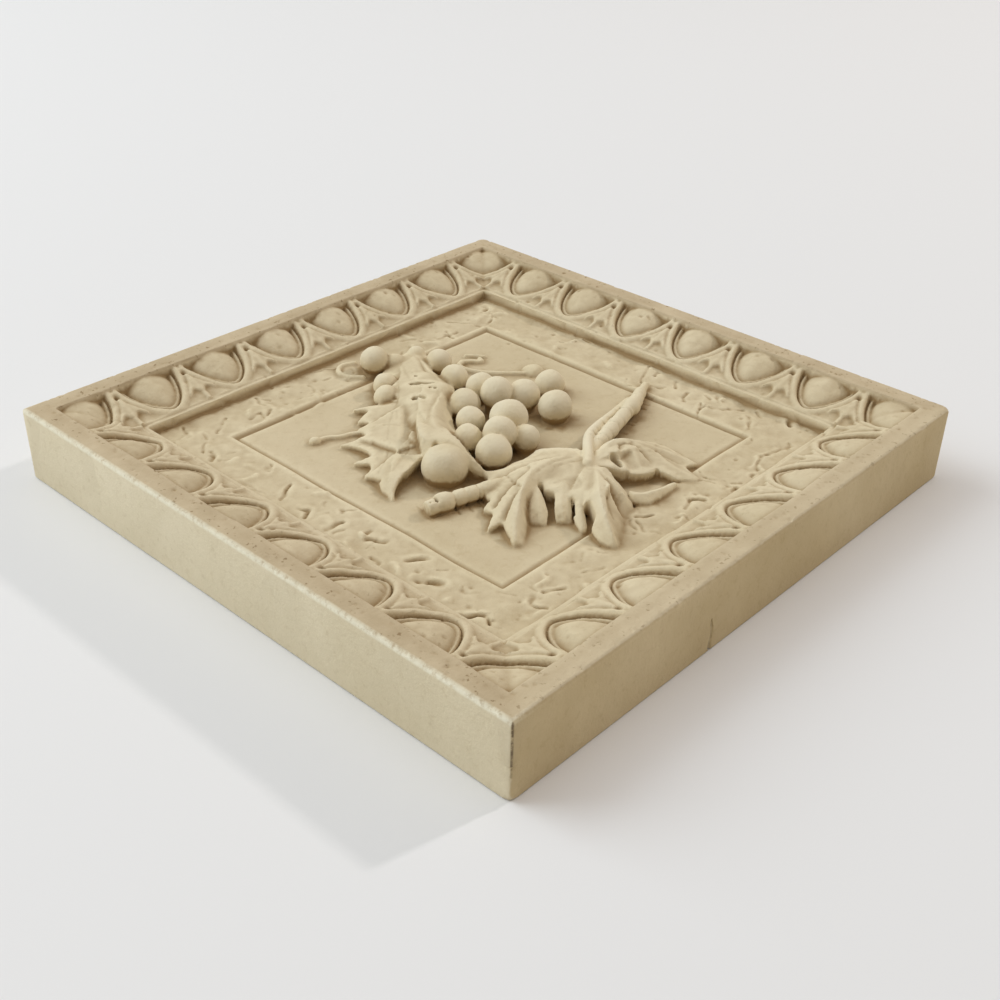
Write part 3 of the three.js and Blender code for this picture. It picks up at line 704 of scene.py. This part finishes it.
SHARP_CORNER = 0.5
ROUND_CORNER = 3.0
DRAWN_IN = 0.12               # keeps the worn sides inside the full size
EDGE_SOFT = 0.9
BEVEL = 0.55                  # of the outer top edge
CHIP = 0.8
corner_radius = np.where(X > 0, SHARP_CORNER, ROUND_CORNER)
bow = 0.18 * waves(34, 41) + 0.07 * waves(6, 42)
ax = np.abs(X) - (HALF - corner_radius)
ay = np.abs(Y) - (HALF - corner_radius)
plan = np.hypot(np.maximum(ax, 0), np.maximum(ay, 0)) + np.minimum(np.maximum(ax, ay), 0)
plan = plan - corner_radius + DRAWN_IN + 0.1 * bow
chip = np.clip(0.6 * waves(4.1, 43) + 0.5 * waves(1.2, 44) - 0.3, 0, 1)
body = -blend_in(-body, -np.broadcast_to(plan[:, :, None], body.shape), EDGE_SOFT)
edge_cut = (zs[None, None, :] - THICK + BEVEL) + (plan[:, :, None] + BEVEL)
edge_cut = (edge_cut + CHIP * chip[:, :, None] - 0.3) * math.sqrt(0.5)
body = np.maximum(body, edge_cut).astype(np.float32)

# ---------------------------------------------------------------- skin of the casting
# The surface of the lump is taken off the grid as one closed skin: the carved front first, then
# the plain sides and the back, which was struck off flat with a straight edge.

low = ROOT + GRAIN / 2
BACK_SOFT = 0.5               # round of the back edge
SIDE_BANDS = 8
CRACK_X = 23.8
CRACK_TOP = 11.0
CRACK_DEPTH = 2.4
CRACK_HALF = 0.32             # half its width at the top, and how much wider it is at the foot
CRACK_WIDER = 0.22
KNOCK_REACH = 2.6             # of the knocks down one corner
KNOCK = 0.35
MOST_TRIANGLES = 190000


def skin_of(field):
    """Corner points and four-sided faces of the surface where the field is zero."""
    inside = field < 0
    count = np.zeros(tuple(n - 1 for n in field.shape), np.uint8)
    corners = [(a, b, c) for a in (0, 1) for b in (0, 1) for c in (0, 1)]
    nx, ny, nz = count.shape
    for a, b, c in corners:
        count += inside[a:a + nx, b:b + ny, c:c + nz]
    busy = (count > 0) & (count < 8)
    number = np.full(count.shape, -1, np.int32)
    number[busy] = np.arange(busy.sum())
    cell = np.stack(np.nonzero(busy), 1)
    total = np.zeros((len(cell), 3))
    hits = np.zeros(len(cell))
    for start in corners:
        for axis in range(3):
            if start[axis]:
                continue
            end = list(start)
            end[axis] = 1
            fa = field[tuple((cell + start).T)]
            fb = field[tuple((cell + end).T)]
            cross = (fa < 0) != (fb < 0)
            t = np.zeros(len(cell))
            t[cross] = fa[cross] / (fa[cross] - fb[cross])
            point = np.array(start, float) + t[:, None] * (np.array(end) - np.array(start))
            total[cross] += point[cross]
            hits += cross
    points = cell + total / hits[:, None]
    faces = []
    for axis in range(3):
        one, two = [k for k in range(3) if k != axis]
        shape = [slice(None)] * 3
        lower, upper = list(shape), list(shape)
        lower[axis], upper[axis] = slice(0, -1), slice(1, None)
        cross = inside[tuple(lower)] != inside[tuple(upper)]
        at = np.stack(np.nonzero(cross), 1)
        at = at[(at[:, one] > 0) & (at[:, two] > 0)]
        at = at[(at[:, one] < inside.shape[one] - 1) & (at[:, two] < inside.shape[two] - 1)]
        ring = []
        for a, b in ((1, 1), (0, 1), (0, 0), (1, 0)):
            around = at.copy()
            around[:, one] -= a
            around[:, two] -= b
            ring.append(number[tuple(around.T)])
        quads = np.stack(ring, 1)
        solid_below = inside[tuple(at.T)]
        flip = solid_below if axis == 1 else ~solid_below
        quads[flip] = quads[flip][:, ::-1]
        faces.append(quads)
    return points, np.concatenate(faces)[:, ::-1]


points, quads = skin_of(body)
points = points * GRAIN + np.array([xs[0], xs[0], zs[0]])

casting_mesh = bpy.data.meshes.new("plaque_casting")
casting_mesh.from_pydata(points.tolist(), [], quads.tolist())
shell = bmesh.new()
shell.from_mesh(casting_mesh)
rim_edges = [e for e in shell.edges if len(e.link_faces) == 1]
for edge in rim_edges:
    for vert in edge.verts:
        vert.co.z = low
levels = list(np.linspace(low, 1.0, SIDE_BANDS + 1)[1:]) + [0.5, 0.2, 0.0]
before = 0.0
for height in levels:
    grown = bmesh.ops.extrude_edge_only(shell, edges=rim_edges)["geom"]
    rim_edges = [g for g in grown if isinstance(g, bmesh.types.BMEdge) and len(g.link_faces) == 1]
    draw = BACK_SOFT * (1 - math.sqrt(max(0, 1 - (1 - min(height / BACK_SOFT, 1)) ** 2)))
    for vert in {v for e in rim_edges for v in e.verts}:
        reach = max(abs(vert.co.x), abs(vert.co.y))
        vert.co.x *= 1 - (draw - before) / reach
        vert.co.y *= 1 - (draw - before) / reach
        vert.co.z = height
    before = draw

# A crack runs up one side from the back edge, and the corner beside it is knocked about.
for vert in shell.verts:
    x, y, z = vert.co
    if z > low + GRAIN or y < HALF - 3:
        continue
    across = abs(x - CRACK_X - 0.35 * math.sin(0.8 * z) - 0.04 * z)
    opening = CRACK_HALF + CRACK_WIDER * (1 - z / CRACK_TOP)
    if across < opening:
        vert.co.y -= CRACK_DEPTH * (1 - across / opening) ** 0.5
    near = max(0, 1 - math.hypot(HALF - x, HALF - y) / KNOCK_REACH)
    knock = KNOCK * near * max(0, 0.3 + math.sin(1.3 * z + 0.6) + 0.7 * math.sin(3.1 * z))
    vert.co.x -= knock
    vert.co.y -= knock
bmesh.ops.contextual_create(shell, geom=rim_edges)
bmesh.ops.triangulate(shell, faces=[f for f in shell.faces if len(f.verts) > 4])
bmesh.ops.recalc_face_normals(shell, faces=shell.faces)
shell.to_mesh(casting_mesh)
shell.free()

plaque = bpy.data.objects.new("plaque_casting", casting_mesh)
bpy.context.scene.collection.objects.link(plaque)
thin = plaque.modifiers.new("thin", "DECIMATE")
triangles = sum(len(p.vertices) - 2 for p in casting_mesh.polygons)
thin.ratio = min(1.0, MOST_TRIANGLES / triangles)
graph = bpy.context.evaluated_depsgraph_get()
plaque.data = bpy.data.meshes.new_from_object(plaque.evaluated_get(graph))
plaque.modifiers.clear()
plaque.data.name = "plaque_casting"

# Crumbs that came loose where two surfaces all but touch are swept off.
shell = bmesh.new()
shell.from_mesh(plaque.data)
lowest = min(shell.faces, key=lambda face: face.calc_center_median().z)
reached, waiting = {lowest}, [lowest]
while waiting:
    for edge in waiting.pop().edges:
        for face in edge.link_faces:
            if face not in reached:
                reached.add(face)
                waiting.append(face)
bmesh.ops.delete(shell, geom=[f for f in shell.faces if f not in reached], context="FACES")
shell.to_mesh(plaque.data)
shell.free()
plaque.data.validate()

count = len(plaque.data.vertices)
co = np.empty(count * 3)
plaque.data.vertices.foreach_get("co", co)
co = co.reshape(-1, 3)
co[:, :2] = np.clip(co[:, :2], -HALF, HALF)
co[:, 2] = np.clip(co[:, 2], 0, TALLEST)

# Kept on the mesh for the colour: how far each point lies below the ground around it, for painted shade
# in the hollows; how much the rim is darkened by handling and the band browned, its +x side also by
# painted shade; and how far the relief stands out, for painted light that makes it paler.
x, y, z = co.T
height_map = ROOT + GRAIN * np.clip(0.5 - body / GRAIN, 0, 1).sum(2)
at_x, at_y = (x - xs[0]) / GRAIN, (y - xs[0]) / GRAIN
below_close = read_off(soften(height_map, 12), at_x, at_y) - z
below_wide = read_off(soften(height_map, 90), at_x, at_y) - z
outer = HALF - np.maximum(np.abs(x), np.abs(y))
# The recess share is painted shade: the deeper a point lies below the ground around it, the browner it
# is painted.
recess_shade = np.clip(below_close / 0.8 + below_wide / 14, 0, 1)
recess_shade *= (z > ROOT + 1) * ramp(outer, 2, 6)
rim_share = 0.95 - 0.25 * ramp(y - np.abs(x), -3, 3)
# The band is browner all round, and browner still on its +x side, whose slope faces away from the
# window: that extra brown is painted shade.
band_tone_and_shade = 0.22 + 0.22 * ramp(x - np.abs(y), -3, 3)
aged_and_shaded = rim_share * ramp(z, THICK - 1.2, THICK - 0.4) * ramp(RIM + 1.5 - outer, 0, 1)
on_band = ramp(BAND_FOOT + 1 - outer, 0, 2) * ramp(outer, RIM, RIM + 1)
aged_and_shaded = np.maximum(aged_and_shaded, band_tone_and_shade * on_band)
# The raised share is painted light: the relief's tops are painted paler as if lit from the window.
relief_light = ramp(-below_wide, 0.4, 4) * ramp(outer, BAND_FOOT, BAND_FOOT + 3)
for name, values in (("recess_shade", recess_shade), ("aged_and_shaded", aged_and_shaded), ("relief_light", relief_light)):
    tag = plaque.data.attributes.new(name, "FLOAT", "POINT")
    tag.data.foreach_set("value", values.astype(np.float32))
plaque.data.vertices.foreach_set("co", (co * 0.001).ravel())
plaque.data.update()
for polygon in plaque.data.polygons:
    polygon.use_smooth = True
plaque.data.set_sharp_from_angle(angle=math.radians(62))

# ---------------------------------------------------------------- plaster finish
# Cast plaster of a warm cream colour: dull, finely pitted, stained in patches on one side, with a grain
# that only shows close to. Painted light makes the relief, the +x side and the outer top edge paler,
# that edge also partly rubbed; painted shade browns the hollows, the band's +x side, the +y side and
# the corner between.

PLAIN_DARK = (0.675, 0.575, 0.385)
PLAIN_PALE = (0.745, 0.645, 0.45)
WORN_DARK = (0.47, 0.37, 0.235)
WORN_PALE = (0.60, 0.49, 0.33)
# Painted light: the paler colour of the relief's tops.
RELIEF_LIGHT = (0.80, 0.72, 0.545)
# Pale edge line: partly rubbed plaster, partly a painted highlight.
RUBBED_AND_LIT = (0.86, 0.80, 0.62)
# Colour of the painted shade in the hollows.
RECESS_SHADE = (0.33, 0.225, 0.11)
# Painted shade for a dark line down the knocked corner.
CORNER_SHADE = (0.20, 0.15, 0.09)
# Painted light: the +x side, which faces the window, is made paler and cooler.
LIT_SIDE = (1.09, 1.12, 1.17)           # these three multiply the colour of a whole side
# The +y side's patches: partly real stain, partly painted shade on the side that faces away from the
# window.
STAIN_SHADE_DARK = (0.79, 0.72, 0.59)
STAIN_SHADE_PALE = (0.90, 0.85, 0.76)
SHY_EDGE = 0.15                         # share of the rubbed line on the other edges

plaster = bpy.data.materials.new("cast_plaster")
plaster.use_nodes = True
nodes, links = plaster.node_tree.nodes, plaster.node_tree.links
shader = nodes["Principled BSDF"]
shader.inputs["Specular IOR Level"].default_value = 0.25
place = nodes.new("ShaderNodeTexCoord").outputs["Object"]
apart = nodes.new("ShaderNodeSeparateXYZ")
links.new(place, apart.inputs["Vector"])
far_x, far_y, far_z = apart.outputs["X"], apart.outputs["Y"], apart.outputs["Z"]


def noise(scale, detail, rough):
    node = nodes.new("ShaderNodeTexNoise")
    node.inputs["Scale"].default_value = scale
    node.inputs["Detail"].default_value = detail
    node.inputs["Roughness"].default_value = rough
    links.new(place, node.inputs["Vector"])
    return node.outputs["Fac"]


def ramp_between(source, stops):
    node = nodes.new("ShaderNodeValToRGB")
    links.new(source, node.inputs["Fac"])
    for element, (at, colour) in zip(node.color_ramp.elements, stops):
        element.position = at
        element.color = (*colour, 1)
    return node.outputs["Color"]


def mix(share, first, second, how="MIX"):
    node = nodes.new("ShaderNodeMix")
    node.data_type = "RGBA"
    node.blend_type = how
    for socket, value in (("Factor", share), ("A", first), ("B", second)):
        target = next(s for s in node.inputs if s.name == socket and s.enabled)
        if isinstance(value, bpy.types.NodeSocket):
            links.new(value, target)
        elif socket == "Factor":
            target.default_value = value
        else:
            target.default_value = (*value, 1)
    return next(s for s in node.outputs if s.enabled)


def kept(name):
    node = nodes.new("ShaderNodeAttribute")
    node.attribute_name = name
    return node.outputs["Fac"]


def sums(kind, *values):
    node = nodes.new("ShaderNodeMath")
    node.operation = kind
    for socket, value in zip(node.inputs, values):
        if isinstance(value, bpy.types.NodeSocket):
            links.new(value, socket)
        else:
            socket.default_value = value
    return node.outputs["Value"]


def times(first, second):
    return sums("MULTIPLY", first, second)


def fade(source, low, high):
    node = nodes.new("ShaderNodeMapRange")
    node.interpolation_type = "SMOOTHSTEP"
    node.inputs["From Min"].default_value = low
    node.inputs["From Max"].default_value = high
    links.new(source, node.inputs["Value"])
    return node.outputs["Result"]


def close_to(place, limit, start, end):
    """Fades in from one distance short of a limit to another, in millimetres."""
    return fade(place, 0.001 * (limit - start), 0.001 * (limit - end))


def bumps(source, strength, distance, under=None):
    node = nodes.new("ShaderNodeBump")
    node.inputs["Strength"].default_value = strength
    node.inputs["Distance"].default_value = distance
    links.new(source, node.inputs["Height"])
    if under:
        links.new(under, node.inputs["Normal"])
    return node.outputs["Normal"]


# The plain plaster, the darker rim and band, and the relief made paler as painted light.
cloud = ramp_between(noise(28, 4, 0.6), [(0.35, PLAIN_DARK), (0.65, PLAIN_PALE)])
speck = ramp_between(noise(420, 3, 0.6), [(0.30, (0.86, 0.83, 0.78)), (0.45, (1, 1, 1))])
plain = mix(0.5, cloud, speck, "MULTIPLY")
worn = ramp_between(noise(60, 5, 0.65), [(0.3, WORN_DARK), (0.7, WORN_PALE)])
pits = ramp_between(noise(640, 3, 0.5), [(0.30, (0.45, 0.36, 0.25)), (0.36, (1, 1, 1))])
worn = mix(0.8, worn, pits, "MULTIPLY")
# The darker rim and band colour goes where the aged share says, with painted shade on the band's +x
# side.
darkened = mix(kept("aged_and_shaded"), plain, worn)
relief_lit = mix(times(kept("relief_light"), 0.65), darkened, RELIEF_LIGHT)

# The outer top edge is paler in a rough line, most of all on the +x side that faces the window: partly
# rubbed plaster and partly a painted highlight.
out_to = sums("MAXIMUM", sums("ABSOLUTE", far_x), sums("ABSOLUTE", far_y))
at_edge = times(close_to(out_to, HALF, 1.5, 0.6), close_to(far_z, THICK, 1.9, 0.9))
rubbed_and_lit = times(at_edge, fade(noise(520, 5, 0.75), 0.28, 0.56))
edge_highlight_share = times(rubbed_and_lit, sums("MULTIPLY_ADD", close_to(far_x, HALF, 10, 2), 0.6, SHY_EDGE))
edge_rubbed_and_lit = mix(edge_highlight_share, relief_lit, RUBBED_AND_LIT)

# The +x side, facing the window, is made paler and cooler as painted light; the +y side, facing away,
# is stained in patches and darkened with them as painted shade; painted shade also runs down the
# knocked corner between.
lit_side = mix(close_to(far_x, HALF, 0.7, 0.3), edge_rubbed_and_lit, LIT_SIDE, "MULTIPLY")
# Real stain in patches, darkened further as painted shade on the +y side away from the window.
stain_and_shade_patches = ramp_between(noise(22, 3, 0.6), [(0.3, STAIN_SHADE_DARK), (0.7, STAIN_SHADE_PALE)])
stained_and_shaded = mix(close_to(far_y, HALF, 0.7, 0.3), lit_side, stain_and_shade_patches, "MULTIPLY")
# Painted shade: a dark broken line down the knocked corner between the +x and +y sides, where the
# chipped corner lies in shadow.
in_corner = times(close_to(far_x, HALF, 1.0, 0.5), close_to(far_y, HALF, 0.6, 0.3))
corner_shade = times(times(in_corner, fade(noise(300, 4, 0.7), 0.36, 0.56)), fade(far_z, 0.004, 0.012))
corner_shaded = mix(corner_shade, stained_and_shaded, CORNER_SHADE)
# Painted shade browns the hollows by the recess share.
links.new(mix(kept("recess_shade"), corner_shaded, RECESS_SHADE), shader.inputs["Base Color"])

dull = ramp_between(noise(160, 3, 0.5), [(0.3, (0.80, 0.80, 0.80)), (0.7, (0.93, 0.93, 0.93))])
links.new(dull, shader.inputs["Roughness"])
grain = bumps(noise(1300, 4, 0.6), 0.35, 0.0004)
links.new(bumps(noise(330, 4, 0.65), 0.4, 0.0006, grain), shader.inputs["Normal"])
plaque.data.materials.append(plaster)
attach(plaque, "root")
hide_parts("plaque")

# ---------------------------------------------------------------- floor, light and camera
# The plaque lies on its back on a pale painted table. Soft daylight falls on it from one side and
# from above, and a small lamp behind it throws the pale shadow in front.

TABLE_REACH = 3.0
TABLE_DROP = 0.0002           # keeps the table just clear of the back
corners = [(a * TABLE_REACH, b * TABLE_REACH, 0) for a, b in ((-1, -1), (1, -1), (1, 1), (-1, 1))]
floor_mesh = bpy.data.meshes.new("table")
floor_mesh.from_pydata(corners, [], [(0, 1, 2, 3)])
floor = bpy.data.objects.new("table", floor_mesh)
floor.location.z = low_corner[2] - TABLE_DROP
bpy.context.scene.collection.objects.link(floor)
paint = bpy.data.materials.new("table_paint")
paint.use_nodes = True
painted = paint.node_tree.nodes["Principled BSDF"]
painted.inputs["Base Color"].default_value = (0.80, 0.80, 0.81, 1)
painted.inputs["Roughness"].default_value = 0.7
floor_mesh.materials.append(paint)

world = bpy.data.worlds.new("room")
bpy.context.scene.world = world
world.use_nodes = True
room = world.node_tree.nodes["Background"]
room.inputs["Color"].default_value = (1.0, 0.92, 0.82, 1)
room.inputs["Strength"].default_value = 0.40
bpy.context.scene.view_settings.view_transform = "Standard"


def lamp(name, azimuth, elevation, distance, size, power, colour):
    """A square soft light that looks at the plaque from a direction in degrees."""
    data = bpy.data.lights.new(name, "AREA")
    data.energy, data.size, data.color = power, size, colour
    light = bpy.data.objects.new(name, data)
    a, e = math.radians(azimuth), math.radians(elevation)
    level = distance * math.cos(e)
    light.location = (level * math.cos(a), level * math.sin(a), distance * math.sin(e))
    light.rotation_euler = (math.pi / 2 - e, 0, a + math.pi / 2)
    bpy.context.scene.collection.objects.link(light)


lamp("window", -62, 38, 2.4, 1.8, 37, (0.84, 0.94, 1.0))
lamp("small_lamp", 163, 35, 2.2, 0.12, 12, (1.0, 0.95, 0.92))
lamp("ceiling", -60, 80, 2.5, 2.5, 13, (0.98, 0.98, 1.0))

CAMERA_AZIMUTH = math.radians(42.46)
CAMERA_ELEVATION = math.radians(32.19)
CAMERA_ROLL = math.radians(1.18)
CAMERA_DISTANCE = 2.014       # these three are shares of the plaque's side
CAMERA_SIDEWAYS = 0.0105
CAMERA_UPWARDS = -0.1395


def aim():
    ca, sa = math.cos(CAMERA_AZIMUTH), math.sin(CAMERA_AZIMUTH)
    ce, se = math.cos(CAMERA_ELEVATION), math.sin(CAMERA_ELEVATION)
    back = np.array([ce * ca, ce * sa, se])
    level = np.array([-sa, ca, 0.0])
    upright = np.cross(back, level)
    cr, sr = math.cos(CAMERA_ROLL), math.sin(CAMERA_ROLL)
    right = cr * level + sr * upright
    up = -sr * level + cr * upright
    away = CAMERA_DISTANCE * back + CAMERA_SIDEWAYS * right + CAMERA_UPWARDS * up
    return right, up, back, 0.001 * (np.array([0, 0, THICK]) + SIDE * away)


lens = bpy.data.cameras.new("camera")
lens.sensor_width = 36
lens.lens = 47.83
camera = bpy.data.objects.new("camera", lens)
camera.matrix_world = Matrix([[*row] for row in zip(*aim())] + [[0, 0, 0, 1]])
bpy.context.scene.collection.objects.link(camera)
bpy.context.scene.camera = camera

# ---------------------------------------------------------------- sizes
# The dressed plaque keeps the size of the plain one; the scene is brought up to date.

bpy.context.view_layer.update()
